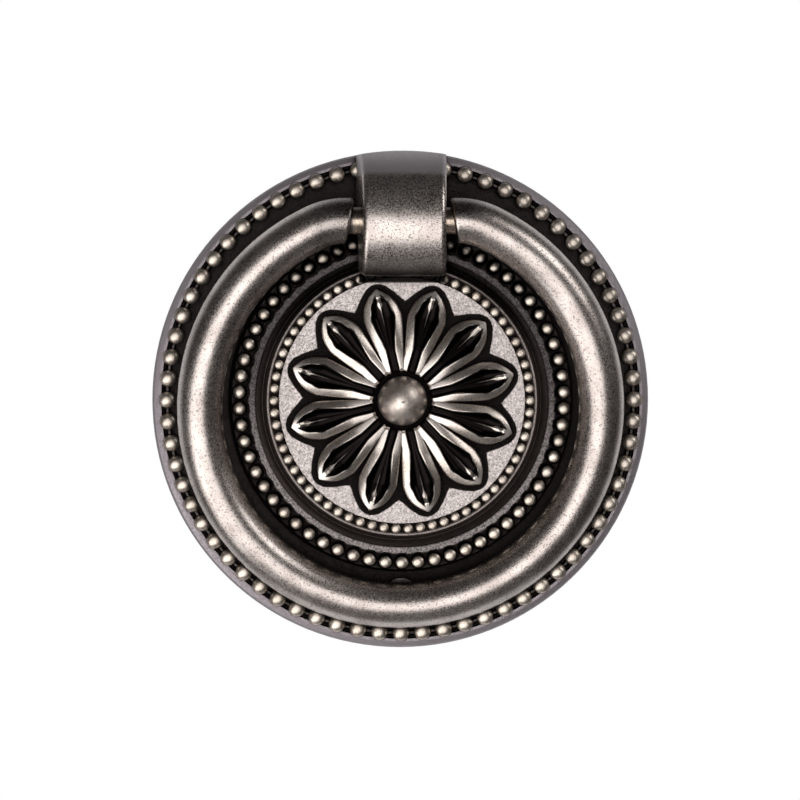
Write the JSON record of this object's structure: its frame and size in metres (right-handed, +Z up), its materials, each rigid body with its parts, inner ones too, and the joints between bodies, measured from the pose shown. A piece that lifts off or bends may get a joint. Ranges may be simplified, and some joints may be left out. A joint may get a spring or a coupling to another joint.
{
  "type": "ring pull handle",
  "caption": "Round beaded backplate with a carved rosette and a cast lug that carries a hinged ring, in antique silver finish.",
  "frame": {"origin": "centre of the fixing hole's mouth, on the back plane of the plate", "axes": "+Z up, with the ring's lug at the top; -Y out of the furniture, towards the user; +Y into the furniture"},
  "size_m": [0.064, 0.0153, 0.064],
  "materials": {
    "plate_metal": "antique silver plating on a zinc casting, dark in the recesses and burnished on what stands out",
    "ring_metal": "antique silver plating on a zinc casting, burnished along the bar"
  },
  "bodies": {
    "backplate": {"backplate": "plate_metal"},
    "ring": {"ring": "ring_metal"}
  },
  "joints": [
    {"name": "ring_hinge", "type": "hinge", "parent": "backplate", "child": "ring", "pos_m": [0, -0.0116, 0.02305], "axis": [-1, 0, 0], "range_deg": [0, 190]}
  ]
}
